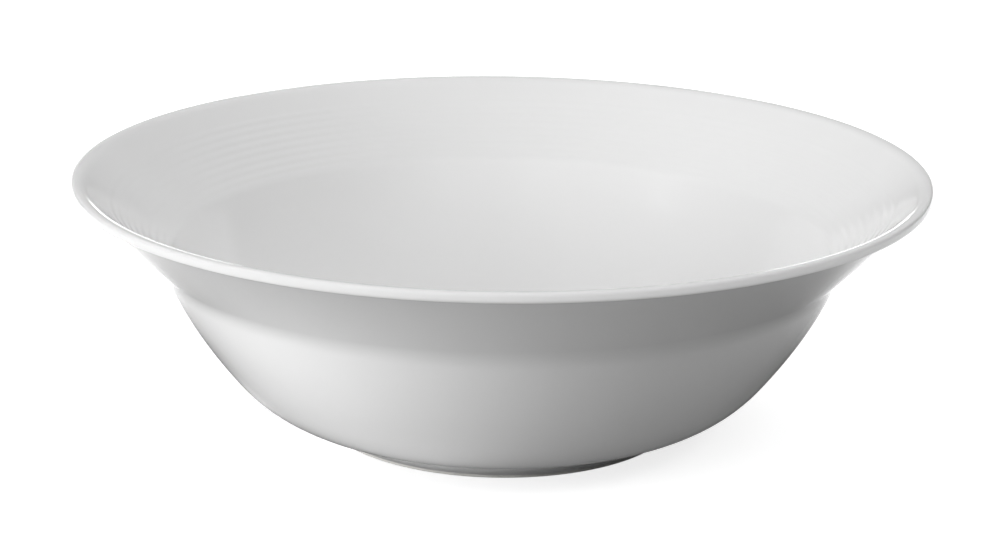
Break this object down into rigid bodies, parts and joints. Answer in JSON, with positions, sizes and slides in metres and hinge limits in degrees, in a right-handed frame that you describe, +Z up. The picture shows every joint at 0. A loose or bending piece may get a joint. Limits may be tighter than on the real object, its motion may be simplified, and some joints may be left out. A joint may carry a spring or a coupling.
{
  "type": "serving bowl",
  "caption": "Round white porcelain serving bowl with a deep well, a flared rim with fine raised rings inside, a rounded lip and a low foot ring.",
  "frame": {"origin": "centre of the foot ring's bearing edge, on the plane that the bowl stands on", "axes": "+Z up along the bowl's axis, out of its mouth; the bowl is round, so +X and +Y are any two level directions at right angles"},
  "size_m": [0.26, 0.26, 0.08],
  "materials": {
    "porcelain": "matt fired porcelain, smooth, slightly warm white",
    "glaze": "clear gloss glaze over white porcelain"
  },
  "bodies": {
    "root": {"porcelain_body": "porcelain", "foot_ring": "porcelain", "glaze_coat": "glaze", "base_glaze": "glaze"}
  },
  "joints": []
}
